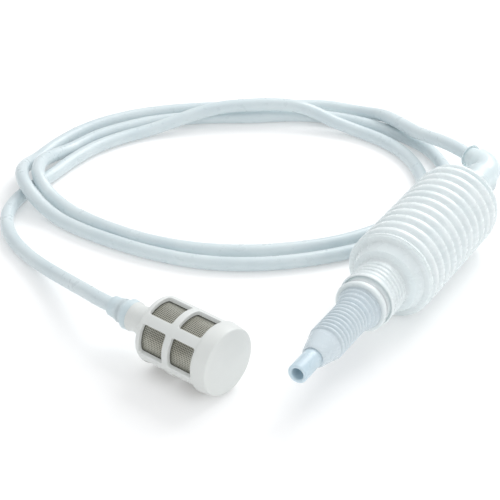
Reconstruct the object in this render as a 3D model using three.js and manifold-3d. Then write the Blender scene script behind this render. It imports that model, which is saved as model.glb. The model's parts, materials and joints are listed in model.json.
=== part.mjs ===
// Hand-pump siphon: a ribbed squeeze bulb with two check valves, a flexible spout with a plain
// nozzle, a bent inlet, two metres of soft hose lying in loose loops, and an inlet strainer.
// Units are millimetres. +Z is up and the object lies on z = 0. The pump lies along X, its nozzle
// towards +X, and the origin is under the middle of the pump.

import * as THREE from 'three';
import { mergeVertices } from 'three/addons/utils/BufferGeometryUtils.js';
import Module from 'manifold-3d';

const wasm = await Module();
wasm.setup();

// ---- driving dimensions ----
const GAP = 0.3; // clearance between pieces that touch
const WIDE_SIDES = 36; // facets round the strainer
const COLLAR_SIDES = 28;
const NARROW_SIDES = 20; // facets round spouts, tubes and spigots
const PASSAGE_SIDES = 16;
const ELBOW_STEPS = 13;
const PUMP_AXIS_HEIGHT = 25; // the bulb rests on its ribs

// bulb
const BULB_RADIUS = 25; // over the ribs
const RIB_COUNT = 11;
const RIB_DEPTH = 2.4;
const RIBS_REAR = -62;
const RIBS_FRONT = 20;
const BULB_WALL = 1.3;
const BULB_SHOULDER_WALL = 3; // radial thickness at the shoulders
const SHOULDER_LENGTH = 8;
const FRONT_NECK_RADIUS = 14.5;
const FRONT_LIP_RADIUS = 12.8; // under the collar
const FRONT_LIP_END = 53;
const THREAD_COUNT = 4;
const THREAD_PITCH = 3.2;
const THREAD_HEIGHT = 0.7;
const THREAD_SET_BACK = 6; // from the shoulder to the first turn
const REAR_NECK_RADIUS = 9;
const REAR_NECK_END = -88;

// collar, gasket and spout
const COLLAR_REAR = 49.5;
const COLLAR_FRONT = 57.5;
const COLLAR_REAR_RADIUS = 14.9;
const COLLAR_FRONT_RADIUS = 13.9;
const COLLAR_LIP = 1.5;
const COLLAR_BEAD_WIDTH = 1.2;
const COLLAR_BEAD_HEIGHT = 0.5;
const GASKET_THICKNESS = 0.9;
const GASKET_WIDTH = 3;
const SPOUT_FLANGE_THICKNESS = 1.2;
const SPOUT_WALL = 1.1;
const SPOUT_SLEEVE_END = 68;
const SPOUT_SLEEVE_RADIUS = 12.3;
const CORRUGATION_RADIUS = 9.9;
const CORRUGATION_DEPTH = 1.5;
const CORRUGATION_COUNT = 9;
const CORRUGATION_END = 96;
const SPOUT_END = 109;
const SPOUT_END_RADIUS = 6.3;
const NOZZLE_RADIUS = 4.5;
const NOZZLE_BORE = 3.8;
const NOZZLE_REAR = 102;
const NOZZLE_END = 124.8;

// check valves
const BALL_LIFT = 3;
const SEAT_THICKNESS = 3;
const CAGE_BAR = 1.6;
const CAGE_BAR_COUNT = 4;
const CAGE_PLATE = 1.2; // thickness of the rim and of the cross
const BALL_ROOM = 0.6; // between the ball and the bars
const SEAT_CHAMFER = 1.1;
const SEATING_GAP = 0.05;
const OUTLET_VALVE = { seatFront: 51, seatRadius: 11.2, ballRadius: 4.5, hole: 3.4 };
const INLET_VALVE = { seatFront: -82, seatRadius: 7.4, ballRadius: 3.4, hole: 2.5 };

// hose and inlet elbow
const HOSE_RADIUS = 4;
const HOSE_SIDES = 10;
const HOSE_STEPS = 80;
const ELBOW_CORNER = new THREE.Vector3(-111, 0, PUMP_AXIS_HEIGHT);
const ELBOW_BEND = THREE.MathUtils.degToRad(65);
const ELBOW_BEND_RADIUS = 11;
const ELBOW_LEG = 19; // from the corner to the open end
const ELBOW_TUBE_RADIUS = 7.8;
const ELBOW_SLEEVE_RADIUS = 6.4;
const ELBOW_SLEEVE_LENGTH = 8;
const ELBOW_TAPER_START = 2; // past the socket's floor
const ELBOW_TAPER_END = 7;
const ELBOW_SOCKET_RADIUS = 10.8;
const ELBOW_SOCKET_MOUTH = -79;
const HOSE_IN_ELBOW = 9;
const HOSE_IN_ADAPTER = 6.5;
const HOSE_LEAD_IN = 10; // straight before the adapter
const HOSE_CLEARANCE = 0.6; // the soft hose is a push fit; its plain solid needs the room

// strainer, along its own axis from the hose side to the end cap
const STRAINER_BACK = new THREE.Vector3(119, -84, 19.5); // centre of the back ring
const STRAINER_TURN = THREE.MathUtils.degToRad(80); // from +X, about Z
const CAGE_RADIUS = 17.7;
const CAGE_WALL = 1.7;
const CAGE_LENGTH = 38.6;
const CAGE_BACK_RING = 2.8;
const CAGE_MIDDLE_RING = [18.2, 22.2];
const CAGE_END_RING = 1.3;
const CAGE_EDGE = 1.4; // bevel of the back edge
const CAGE_RIB_WIDTH = 6;
const CAGE_RIB_COUNT = 5;
const CAGE_RIB_TURN = THREE.MathUtils.degToRad(41);
const CAGE_BACK_WALL = 2.5;
const MESH_THICKNESS = 0.5;
const CAP_RADIUS = 19.4;
const CAP_DEPTH = 9.1;
const CAP_EDGE_ROUND = 2.4;
const CAP_WALL = 2;
const CAP_PLUG_DEPTH = 5.5;
const NIPPLE_COLLAR_END = -16.6;
const NIPPLE_COLLAR_RADIUS = 7.8; // at the adapter
const NIPPLE_FLANGE_RADIUS = 8.9; // at the cage
const NIPPLE_GROOVE_RADIUS = 8;
const NIPPLE_SPIGOT_RADIUS = 5.4;
const NIPPLE_TAIL = -24.5;
const NIPPLE_BORE = 3.4;
const NIPPLE_IN_CAGE = 1.5; // past the back wall
const ADAPTER_END = -32;
const ADAPTER_FRONT = -17;

// The hose lies in loose loops: it leaves the elbow, runs round outside, passes behind the bulb
// twice, rides over its own turns at the far side, and ends in the strainer's adapter.
const HOSE_ROUTE = [
  [-125, -30, 24.6], [-131, -41, 22.6], [-138.5, -53, 19], [-147, -66, 15.5],
  [-155.5, -80, 13.4], [-163, -94, 11.2], [-168.5, -108, 7.2], [-171, -122, 4.4], [-168.5, -138, 4.2],
  [-159, -156, 4.2], [-142, -180, 4.2], [-126, -206, 4.2], [-105, -231, 4.2], [-86, -246, 4.2],
  [-64, -256, 4.2], [-41, -260, 4.2], [-17, -259, 5.2], [1, -255, 9.6], [14, -248, 13],
  [24, -238, 12.8], [31, -224, 8.6], [35, -208, 4.6], [38.5, -190, 4.2], [40, -170, 4.2],
  [39.5, -142, 4.2], [34, -112, 4.2], [22, -86, 4.2], [5, -64, 4.2], [-14, -46.5, 4.2],
  [-33, -33.5, 4.2], [-55, -25, 4.2], [-79, -22.5, 4.2], [-103, -24, 4.2], [-122, -31, 4.2],
  [-137, -42.5, 4.2], [-148, -56, 4.2], [-155, -73, 4.2], [-158.5, -92, 4.2], [-158.5, -112, 4.2],
  [-155, -132, 4.2], [-147, -151, 4.2], [-131, -174, 4.2], [-115, -200, 4.2], [-95, -223.5, 4.2],
  [-79, -235, 4.2], [-60, -244.5, 4.2], [-39, -249, 4.2], [-20, -249.5, 8], [-2, -246, 12.6],
  [11, -238, 12.9], [19, -226, 9], [23, -211, 4.8], [27, -194, 4.2], [29.5, -172, 4.2],
  [29, -146, 4.2], [22.5, -118, 4.2], [10.5, -93, 4.2], [-4.5, -73, 4.2], [-21, -56.5, 4.2],
  [-39, -44.5, 4.2], [-58, -36.5, 4.2], [-78, -33.5, 4.2], [-97, -36.5, 4.2], [-114, -45, 4.2],
  [-128, -57, 4.2], [-138.5, -71.5, 4.2], [-145, -88, 4.2], [-147.5, -105, 4.6], [-147, -121, 7],
  [-146, -134, 10.5], [-143.5, -146, 13.2], [-138, -160, 13.8], [-129, -174, 13.8], [-118.5, -188, 13],
  [-106.5, -200.5, 10.4], [-94, -211, 7], [-82, -220.5, 4.6], [-66, -230, 4.2], [-48, -237, 4.2],
  [-28, -240, 4.2], [-8, -240.5, 4.2], [12, -241.5, 4.2], [29, -241, 4.2], [44, -236.5, 4.2],
  [57, -227.5, 4.2], [67.5, -215, 4.2], [76.2, -199.5, 4.6], [83.2, -184.7, 6.2], [89.4, -171.3, 8.6],
  [94.7, -160, 11.1], [99.9, -149.6, 13.7], [104.7, -140.3, 16.2], [108.8, -132.2, 18.3],
].map(([x, y, z]) => new THREE.Vector3(x, y, z));

// ---- materials ----
function plastic(color, roughness) {
  return new THREE.MeshStandardMaterial({ color, roughness, metalness: 0 });
}

const MATERIALS = {
  bulb: plastic(0xe6eef0, 0.35),
  spout: plastic(0xdfe8ec, 0.35),
  hose: plastic(0xd8e3e8, 0.25),
  adapter: plastic(0xcfdadf, 0.3),
  white: plastic(0xf1f1ec, 0.4),
  valve: plastic(0xe9e9e4, 0.45),
  gasket: plastic(0xc9cfd2, 0.7),
  mesh: new THREE.MeshStandardMaterial({ color: 0x8f8f88, roughness: 0.4, metalness: 0.9 }),
};

// ---- shape helpers ----

// Faces point out: a closed geometry of negative volume is turned inside out.
function facingOut(geometry) {
  const merged = geometry.clone();
  merged.deleteAttribute('normal');
  merged.deleteAttribute('uv');
  const closed = mergeVertices(merged, 1e-4);
  const place = closed.getAttribute('position');
  const index = Array.from(closed.getIndex().array);
  const [a, b, c] = [new THREE.Vector3(), new THREE.Vector3(), new THREE.Vector3()];
  const kept = [];
  let volume = 0;
  for (let i = 0; i < index.length; i += 3) {
    const [p, q, r] = index.slice(i, i + 3);
    if (p === q || q === r || r === p) continue;
    kept.push(p, q, r);
    a.fromBufferAttribute(place, p);
    b.fromBufferAttribute(place, q);
    c.fromBufferAttribute(place, r);
    volume += a.dot(b.cross(c));
  }
  if (volume < 0) {
    kept.reverse();
  }
  closed.setIndex(kept);
  return closed;
}

// A piece turned about X, from a closed outline of [x, radius] points.
function turned(outline, sides = 24) {
  const points = outline.map(([x, radius]) => new THREE.Vector2(Math.max(radius, 0), x));
  const last = outline[outline.length - 1];
  if (last[1] > 0 || outline[0][1] > 0) {
    points.push(points[0].clone());
  }
  const geometry = new THREE.LatheGeometry(points, sides);
  geometry.rotateZ(-Math.PI / 2);
  return facingOut(geometry);
}

// A round bar along a curve. An arc is drawn with two sides for each curve segment.
function bar(curve, radius, steps, sides) {
  const section = new THREE.Shape().absarc(0, 0, radius, 0, 2 * Math.PI, false);
  const options = { steps, curveSegments: sides / 2, bevelEnabled: false, extrudePath: curve };
  return facingOut(new THREE.ExtrudeGeometry(section, options));
}

function box(x, y, z, sizeX, sizeY, sizeZ) {
  return facingOut(new THREE.BoxGeometry(sizeX, sizeY, sizeZ).translate(x, y, z));
}

function solid(geometry) {
  const closed = facingOut(geometry);
  const mesh = new wasm.Mesh({
    numProp: 3,
    vertProperties: new Float32Array(closed.getAttribute('position').array),
    triVerts: new Uint32Array(closed.getIndex().array),
  });
  mesh.merge();
  return new wasm.Manifold(mesh);
}

function geometryOf(manifold) {
  const { vertProperties, triVerts } = manifold.getMesh();
  const geometry = new THREE.BufferGeometry();
  geometry.setAttribute('position', new THREE.BufferAttribute(vertProperties, 3));
  geometry.setIndex(new THREE.BufferAttribute(triVerts, 1));
  return geometry;
}

function joined(...geometries) {
  return geometries.map(solid).reduce((all, next) => all.add(next));
}

function without(from, ...geometries) {
  return geometries.map(solid).reduce((left, next) => left.subtract(next), from);
}

function piece(name, geometry, material) {
  const mesh = new THREE.Mesh(geometry, material);
  mesh.name = name;
  return mesh;
}

// Points of a wave between two places on the axis: each rib is a crest between two valleys.
function ribs(from, to, count, crest, depth) {
  const pitch = (to - from) / count;
  const points = [];
  for (let i = 0; i < count; i += 1) {
    const start = from + i * pitch;
    points.push([start, crest - depth]);
    points.push([start + pitch / 2, crest]);
  }
  points.push([to, crest - depth]);
  return points;
}

// ---- bulb ----

// A thin blow-moulded shell: the same outline outside and, a wall in, inside, open at both necks.
function pumpBody() {
  const neckStart = RIBS_FRONT + SHOULDER_LENGTH;
  const threads = [];
  const threadStart = neckStart + THREAD_SET_BACK;
  for (let i = 0; i < THREAD_COUNT; i += 1) {
    const x = threadStart + i * THREAD_PITCH;
    threads.push([x, FRONT_NECK_RADIUS]);
    threads.push([x + 0.35 * THREAD_PITCH, FRONT_NECK_RADIUS + THREAD_HEIGHT]);
    threads.push([x + 0.7 * THREAD_PITCH, FRONT_NECK_RADIUS]);
  }
  const neckStep = COLLAR_REAR - GAP;
  const outer = [
    [REAR_NECK_END, REAR_NECK_RADIUS],
    [RIBS_REAR - SHOULDER_LENGTH - 2, REAR_NECK_RADIUS],
    [RIBS_REAR - SHOULDER_LENGTH, REAR_NECK_RADIUS + 3],
    [RIBS_REAR - 0.6 * SHOULDER_LENGTH, BULB_RADIUS - 2],
    [RIBS_REAR - 0.3 * SHOULDER_LENGTH, BULB_RADIUS],
    ...ribs(RIBS_REAR, RIBS_FRONT, RIB_COUNT, BULB_RADIUS, RIB_DEPTH),
    [RIBS_FRONT + 0.3 * SHOULDER_LENGTH, BULB_RADIUS],
    [RIBS_FRONT + 0.6 * SHOULDER_LENGTH, BULB_RADIUS - 2],
    [neckStart - 0.5, FRONT_NECK_RADIUS + 2.2],
    [neckStart + 2, FRONT_NECK_RADIUS],
    ...threads,
    [neckStep, FRONT_NECK_RADIUS],
    [neckStep, FRONT_LIP_RADIUS],
    [FRONT_LIP_END, FRONT_LIP_RADIUS],
  ];
  const inner = [
    [FRONT_LIP_END, FRONT_LIP_RADIUS - BULB_WALL],
    [neckStep - BULB_WALL, FRONT_LIP_RADIUS - BULB_WALL],
    [neckStart + 2, FRONT_NECK_RADIUS - BULB_WALL],
    [neckStart - 0.5 - BULB_WALL, FRONT_NECK_RADIUS + 1],
    [RIBS_FRONT + 0.3 * SHOULDER_LENGTH, BULB_RADIUS - BULB_SHOULDER_WALL],
    ...ribs(RIBS_REAR, RIBS_FRONT, RIB_COUNT, BULB_RADIUS - BULB_WALL, RIB_DEPTH).reverse(),
    [RIBS_REAR - 0.3 * SHOULDER_LENGTH, BULB_RADIUS - BULB_SHOULDER_WALL],
    [RIBS_REAR - SHOULDER_LENGTH + BULB_WALL, REAR_NECK_RADIUS + 1.6],
    [RIBS_REAR - SHOULDER_LENGTH - 2, REAR_NECK_RADIUS - BULB_WALL],
    [REAR_NECK_END, REAR_NECK_RADIUS - BULB_WALL],
  ];
  return piece('pump_body', turned([...outer, ...inner]), MATERIALS.bulb);
}

// ---- check valves ----

// A seat ring, a ball on its front side, and a cage whose bars stop the ball after its lift.
function checkValve(prefix, valve) {
  const { seatFront, seatRadius, ballRadius, hole } = valve;
  const seatRear = seatFront - SEAT_THICKNESS;
  const chamferRear = seatFront - SEAT_CHAMFER;
  const seat = turned([
    [seatRear, hole],
    [seatRear, seatRadius],
    [seatFront, seatRadius],
    [seatFront, hole + SEAT_CHAMFER],
    [chamferRear, hole],
  ]);
  const ballCentre = chamferRear + Math.sqrt(ballRadius ** 2 - hole ** 2) + GAP + SEATING_GAP;
  const ball = new THREE.SphereGeometry(ballRadius, 16, 10).translate(ballCentre, 0, 0);
  const base = seatFront + GAP;
  const rimFront = base + CAGE_PLATE;
  const top = ballCentre + ballRadius + BALL_LIFT + GAP;
  const inner = ballRadius + BALL_ROOM;
  const outer = inner + CAGE_BAR;
  const rim = turned([[base, inner], [base, seatRadius], [rimFront, seatRadius], [rimFront, inner]]);
  const bars = [];
  for (let i = 0; i < CAGE_BAR_COUNT; i += 1) {
    const turn = (i * 2 * Math.PI) / CAGE_BAR_COUNT;
    const post = box((base + top) / 2, 0, (inner + outer) / 2, top - base, CAGE_BAR, CAGE_BAR);
    bars.push(post.rotateX(turn));
  }
  const across = box(top + CAGE_PLATE / 2, 0, 0, CAGE_PLATE, CAGE_BAR, 2 * outer);
  const over = box(top + CAGE_PLATE / 2, 0, 0, CAGE_PLATE, 2 * outer, CAGE_BAR);
  const cage = geometryOf(joined(rim, ...bars, across, over));
  return [
    piece(`${prefix}_valve_seat`, seat, MATERIALS.valve),
    piece(`${prefix}_valve_ball`, facingOut(ball), MATERIALS.valve),
    piece(`${prefix}_valve_cage`, cage, MATERIALS.valve),
  ];
}

// ---- collar, gasket, spout and nozzle ----

const GASKET_REAR = FRONT_LIP_END + GAP;
const FLANGE_REAR = GASKET_REAR + GASKET_THICKNESS + GAP;
const FLANGE_FRONT = FLANGE_REAR + SPOUT_FLANGE_THICKNESS;

function neckGasket() {
  const front = GASKET_REAR + GASKET_THICKNESS;
  const outer = FRONT_LIP_RADIUS;
  const inner = outer - GASKET_WIDTH;
  return piece(
    'neck_gasket',
    turned([[GASKET_REAR, inner], [GASKET_REAR, outer], [front, outer], [front, inner]]),
    MATERIALS.gasket,
  );
}

// A ring with a bead round each edge and a lip that holds the spout's flange.
function screwCollar() {
  const inside = FRONT_LIP_RADIUS + GAP;
  const lipRear = COLLAR_FRONT - COLLAR_LIP;
  const lipInside = SPOUT_SLEEVE_RADIUS + GAP;
  const rearBead = COLLAR_REAR + COLLAR_BEAD_WIDTH;
  const frontBead = COLLAR_FRONT - COLLAR_BEAD_WIDTH;
  return piece(
    'screw_collar',
    turned([
      [COLLAR_REAR, inside],
      [COLLAR_REAR, COLLAR_REAR_RADIUS],
      [rearBead, COLLAR_REAR_RADIUS],
      [rearBead + GAP, COLLAR_REAR_RADIUS - COLLAR_BEAD_HEIGHT],
      [frontBead - GAP, COLLAR_FRONT_RADIUS - COLLAR_BEAD_HEIGHT / 2],
      [frontBead, COLLAR_FRONT_RADIUS],
      [COLLAR_FRONT, COLLAR_FRONT_RADIUS],
      [COLLAR_FRONT, lipInside],
      [lipRear, lipInside],
      [lipRear, inside],
    ], COLLAR_SIDES),
    MATERIALS.white,
  );
}

function flexibleSpout() {
  const wave = [SPOUT_SLEEVE_END, CORRUGATION_END, CORRUGATION_COUNT];
  const sleeveInside = SPOUT_SLEEVE_RADIUS - SPOUT_WALL;
  const nozzleSocket = NOZZLE_RADIUS + GAP;
  const socketRear = NOZZLE_REAR - GAP;
  return piece(
    'flexible_spout',
    turned([
      [FLANGE_REAR, sleeveInside],
      [FLANGE_REAR, FRONT_LIP_RADIUS],
      [FLANGE_FRONT, FRONT_LIP_RADIUS],
      [FLANGE_FRONT, SPOUT_SLEEVE_RADIUS],
      [COLLAR_FRONT + 1, SPOUT_SLEEVE_RADIUS],
      [SPOUT_SLEEVE_END - 1, CORRUGATION_RADIUS + 0.4],
      ...ribs(...wave, CORRUGATION_RADIUS, CORRUGATION_DEPTH),
      [CORRUGATION_END + 1, CORRUGATION_RADIUS - 0.4],
      [SPOUT_END - 1, SPOUT_END_RADIUS],
      [SPOUT_END, SPOUT_END_RADIUS - 0.3],
      [SPOUT_END, nozzleSocket],
      [socketRear, nozzleSocket],
      [socketRear, NOZZLE_BORE],
      [socketRear - 1.2, NOZZLE_BORE],
      [CORRUGATION_END + 1, CORRUGATION_RADIUS - CORRUGATION_DEPTH - SPOUT_WALL],
      ...ribs(...wave, CORRUGATION_RADIUS - SPOUT_WALL, CORRUGATION_DEPTH).reverse(),
      [SPOUT_SLEEVE_END - 1, CORRUGATION_RADIUS - CORRUGATION_DEPTH - SPOUT_WALL],
      [COLLAR_FRONT + 1, sleeveInside],
    ], NARROW_SIDES),
    MATERIALS.spout,
  );
}

function nozzleTip() {
  return piece(
    'nozzle_tip',
    turned([
      [NOZZLE_REAR, NOZZLE_BORE],
      [NOZZLE_REAR, NOZZLE_RADIUS],
      [NOZZLE_END, NOZZLE_RADIUS],
      [NOZZLE_END, NOZZLE_BORE],
    ], NARROW_SIDES),
    MATERIALS.spout,
  );
}

// ---- inlet elbow ----

const LEG_DIRECTION = new THREE.Vector3(-Math.cos(ELBOW_BEND), -Math.sin(ELBOW_BEND), 0);

function alongLeg(distance) {
  return ELBOW_CORNER.clone().addScaledVector(LEG_DIRECTION, distance);
}

// The centre line: straight along the pump, an arc at the corner, and straight along the leg.
function elbowLine(startX, legEnd) {
  const reach = ELBOW_BEND_RADIUS * Math.tan(ELBOW_BEND / 2);
  const arcStart = ELBOW_CORNER.clone().add(new THREE.Vector3(reach, 0, 0));
  const centre = arcStart.clone().add(new THREE.Vector3(0, -ELBOW_BEND_RADIUS, 0));
  const points = [new THREE.Vector3(startX, 0, PUMP_AXIS_HEIGHT), arcStart];
  const arcSteps = 6;
  for (let i = 1; i <= arcSteps; i += 1) {
    const angle = (ELBOW_BEND * i) / arcSteps;
    const along = new THREE.Vector3(-Math.sin(angle), Math.cos(angle), 0);
    points.push(centre.clone().addScaledVector(along, ELBOW_BEND_RADIUS));
  }
  points.push(alongLeg(legEnd));
  const line = new THREE.CurvePath();
  for (let i = 1; i < points.length; i += 1) {
    line.add(new THREE.LineCurve3(points[i - 1], points[i]));
  }
  return line;
}

// A socket over the bulb's rear neck, a bent tube, and a narrower sleeve that takes the hose.
function inletElbow() {
  const socketInside = REAR_NECK_RADIUS + GAP;
  const socketFloor = REAR_NECK_END - GAP;
  const socketLip = ELBOW_SOCKET_MOUTH + 1;
  const taperEnd = socketFloor - ELBOW_TAPER_END;
  const sleeveStart = ELBOW_LEG - ELBOW_SLEEVE_LENGTH;
  const socket = turned([
    [ELBOW_SOCKET_MOUTH, 0],
    [ELBOW_SOCKET_MOUTH, ELBOW_SOCKET_RADIUS],
    [socketFloor - ELBOW_TAPER_START, ELBOW_SOCKET_RADIUS],
    [taperEnd, ELBOW_TUBE_RADIUS],
    [taperEnd, 0],
  ]).translate(0, 0, PUMP_AXIS_HEIGHT);
  const tube = bar(elbowLine(taperEnd + 1, sleeveStart), ELBOW_TUBE_RADIUS, ELBOW_STEPS, NARROW_SIDES);
  const sleeveLine = new THREE.LineCurve3(alongLeg(sleeveStart - 1), alongLeg(ELBOW_LEG));
  const sleeve = bar(sleeveLine, ELBOW_SLEEVE_RADIUS, 1, NARROW_SIDES);
  const mouth = turned([
    [socketLip, 0],
    [socketLip, socketInside],
    [socketFloor, socketInside],
    [socketFloor, 0],
  ]).translate(0, 0, PUMP_AXIS_HEIGHT);
  const bore = HOSE_RADIUS + HOSE_CLEARANCE;
  const passage = bar(elbowLine(socketFloor + 1, ELBOW_LEG + 1), bore, ELBOW_STEPS, PASSAGE_SIDES);
  const hollow = without(joined(socket, tube, sleeve), mouth, passage);
  return piece('inlet_elbow', geometryOf(hollow), MATERIALS.adapter);
}

// ---- hose ----

const STRAINER_AXIS = new THREE.Vector3(Math.cos(STRAINER_TURN), Math.sin(STRAINER_TURN), 0);

function alongStrainer(distance) {
  return STRAINER_BACK.clone().addScaledVector(STRAINER_AXIS, distance);
}

function hose() {
  const insideElbow = alongLeg(ELBOW_LEG - HOSE_IN_ELBOW);
  const elbowMouth = alongLeg(ELBOW_LEG);
  const leadIn = alongStrainer(ADAPTER_END - HOSE_LEAD_IN);
  const insideAdapter = alongStrainer(ADAPTER_END + HOSE_IN_ADAPTER);
  const stops = [insideElbow, elbowMouth, ...HOSE_ROUTE, leadIn, insideAdapter];
  const route = new THREE.CatmullRomCurve3(stops, false, 'centripetal');
  return piece('hose', bar(route, HOSE_RADIUS, HOSE_STEPS, HOSE_SIDES), MATERIALS.hose);
}

// ---- strainer, built along X and then turned into place ----

// A soft sleeve with two round bumps, between the hose and the strainer's nipple.
function hoseAdapter() {
  const spigotInside = NIPPLE_SPIGOT_RADIUS + GAP;
  const hoseInside = HOSE_RADIUS + HOSE_CLEARANCE;
  const step = NIPPLE_TAIL - GAP;
  return piece(
    'hose_adapter',
    turned([
      [ADAPTER_END, hoseInside],
      [ADAPTER_END, 5],
      [ADAPTER_END + 1.6, 5.9],
      [ADAPTER_END + 3.4, 6.2],
      [ADAPTER_END + 4.6, 6.3],
      [ADAPTER_END + 6.2, 7.1],
      [ADAPTER_END + 8.2, 7.4],
      [ADAPTER_FRONT, NIPPLE_COLLAR_RADIUS],
      [ADAPTER_FRONT, spigotInside],
      [step, spigotInside],
      [step, hoseInside],
    ], NARROW_SIDES),
    MATERIALS.adapter,
  );
}

// A flanged nipple held in the cage's back wall: collar outside, spigot inside the hose adapter.
function strainerNipple() {
  const inWall = CAGE_BACK_WALL + NIPPLE_IN_CAGE;
  const chamfer = 0.6;
  return piece(
    'strainer_nipple',
    turned([
      [NIPPLE_TAIL, NIPPLE_BORE],
      [NIPPLE_TAIL, NIPPLE_SPIGOT_RADIUS - chamfer],
      [NIPPLE_TAIL + 2, NIPPLE_SPIGOT_RADIUS],
      [NIPPLE_COLLAR_END, NIPPLE_SPIGOT_RADIUS],
      [NIPPLE_COLLAR_END, NIPPLE_COLLAR_RADIUS],
      [-3, NIPPLE_FLANGE_RADIUS],
      [-2.4, NIPPLE_GROOVE_RADIUS],
      [-1.8, NIPPLE_GROOVE_RADIUS],
      [-1.2, NIPPLE_FLANGE_RADIUS],
      [-GAP, NIPPLE_FLANGE_RADIUS],
      [-GAP, NIPPLE_SPIGOT_RADIUS],
      [inWall, NIPPLE_SPIGOT_RADIUS],
      [inWall, NIPPLE_BORE],
    ], NARROW_SIDES),
    MATERIALS.white,
  );
}

// A tube with a back wall, its side cut into two rows of windows between straight ribs.
function strainerCage() {
  const inside = CAGE_RADIUS - CAGE_WALL;
  const hole = NIPPLE_SPIGOT_RADIUS + GAP;
  const reach = 2; // past the tube's wall, so that the cut is clean
  const shell = solid(turned([
    [0, hole],
    [0, CAGE_RADIUS - CAGE_EDGE],
    [CAGE_EDGE, CAGE_RADIUS],
    [CAGE_LENGTH, CAGE_RADIUS],
    [CAGE_LENGTH, inside],
    [CAGE_BACK_WALL, inside],
    [CAGE_BACK_WALL, hole],
  ], WIDE_SIDES));
  const [middleRear, middleFront] = CAGE_MIDDLE_RING;
  const rows = [[CAGE_BACK_RING, middleRear], [middleFront, CAGE_LENGTH - CAGE_END_RING]];
  const bands = rows.map(([from, to]) => turned([
    [from, inside - reach],
    [from, CAGE_RADIUS + reach],
    [to, CAGE_RADIUS + reach],
    [to, inside - reach],
  ], WIDE_SIDES));
  const ribs = [];
  for (let i = 0; i < CAGE_RIB_COUNT; i += 1) {
    const turn = CAGE_RIB_TURN + (i * 2 * Math.PI) / CAGE_RIB_COUNT;
    const rib = box(CAGE_LENGTH / 2, 0, CAGE_RADIUS, CAGE_LENGTH + reach, CAGE_RIB_WIDTH, 2 * CAGE_RADIUS);
    ribs.push(rib.rotateX(turn));
  }
  const windows = without(joined(...bands), ...ribs);
  return piece('strainer_cage', geometryOf(shell.subtract(windows)), MATERIALS.white);
}

function strainerMesh() {
  const outer = CAGE_RADIUS - CAGE_WALL - GAP;
  const inner = outer - MESH_THICKNESS;
  const from = CAGE_BACK_WALL + GAP;
  const to = CAGE_LENGTH - GAP;
  const sleeve = turned([[from, inner], [from, outer], [to, outer], [to, inner]], WIDE_SIDES);
  return piece('strainer_mesh', sleeve, MATERIALS.mesh);
}

// A flat round cap, wider than the cage, with a plug that goes inside the mesh.
function strainerCap() {
  const rear = CAGE_LENGTH + GAP;
  const front = rear + CAP_DEPTH;
  const plug = CAGE_RADIUS - CAGE_WALL - 2 * GAP - MESH_THICKNESS;
  const plugRear = CAGE_LENGTH - CAP_PLUG_DEPTH;
  const corner = [];
  const cornerSteps = 3;
  for (let i = 0; i <= cornerSteps; i += 1) {
    const angle = (i * Math.PI) / 2 / cornerSteps;
    corner.push([
      front - CAP_EDGE_ROUND * (1 - Math.sin(angle)),
      CAP_RADIUS - CAP_EDGE_ROUND * (1 - Math.cos(angle)),
    ]);
  }
  return piece(
    'strainer_cap',
    turned([
      [front - CAP_WALL, 0],
      [front - CAP_WALL, plug - CAP_WALL],
      [plugRear, plug - CAP_WALL],
      [plugRear, plug],
      [rear, plug],
      [rear, CAP_RADIUS],
      ...corner,
      [front, 0],
    ], WIDE_SIDES),
    MATERIALS.white,
  );
}

// ---- assembly ----

const pump = new THREE.Group();
pump.position.z = PUMP_AXIS_HEIGHT;
pump.add(pumpBody());
pump.add(...checkValve('inlet', INLET_VALVE));
pump.add(...checkValve('outlet', OUTLET_VALVE));
pump.add(neckGasket(), screwCollar(), flexibleSpout(), nozzleTip());

const strainer = new THREE.Group();
strainer.position.copy(STRAINER_BACK);
strainer.rotation.z = STRAINER_TURN;
strainer.add(hoseAdapter(), strainerNipple(), strainerCage(), strainerMesh(), strainerCap());

const siphon = new THREE.Group();
siphon.add(pump, inletElbow(), hose(), strainer);

export default siphon;
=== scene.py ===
"""The looks of the hand-pump siphon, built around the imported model: a translucent ribbed bulb with
its spout and inlet, the loose loops of soft hose, and the white strainer with its woven mesh.
Lengths are in metres. The pump lies along X, its nozzle towards +X, and stands on z = 0."""

import json
import math

import bmesh
import bpy
import numpy as np
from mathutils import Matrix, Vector


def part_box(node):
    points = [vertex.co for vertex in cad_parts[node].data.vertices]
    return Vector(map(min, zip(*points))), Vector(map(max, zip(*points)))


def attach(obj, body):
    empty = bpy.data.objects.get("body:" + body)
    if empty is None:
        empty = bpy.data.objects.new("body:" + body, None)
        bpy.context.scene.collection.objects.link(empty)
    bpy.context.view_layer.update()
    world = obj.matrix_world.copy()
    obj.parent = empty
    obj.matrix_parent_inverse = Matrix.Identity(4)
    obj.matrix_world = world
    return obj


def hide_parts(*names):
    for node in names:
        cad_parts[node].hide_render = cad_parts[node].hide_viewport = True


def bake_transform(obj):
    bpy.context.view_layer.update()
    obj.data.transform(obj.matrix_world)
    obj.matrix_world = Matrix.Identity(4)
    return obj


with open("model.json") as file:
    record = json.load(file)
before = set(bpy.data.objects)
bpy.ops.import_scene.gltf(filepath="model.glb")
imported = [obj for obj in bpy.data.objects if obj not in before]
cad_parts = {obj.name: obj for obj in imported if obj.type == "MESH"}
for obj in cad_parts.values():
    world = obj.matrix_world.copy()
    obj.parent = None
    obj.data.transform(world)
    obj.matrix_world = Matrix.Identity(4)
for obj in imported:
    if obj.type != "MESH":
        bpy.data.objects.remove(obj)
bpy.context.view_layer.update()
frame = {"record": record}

MM = 0.001

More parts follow.
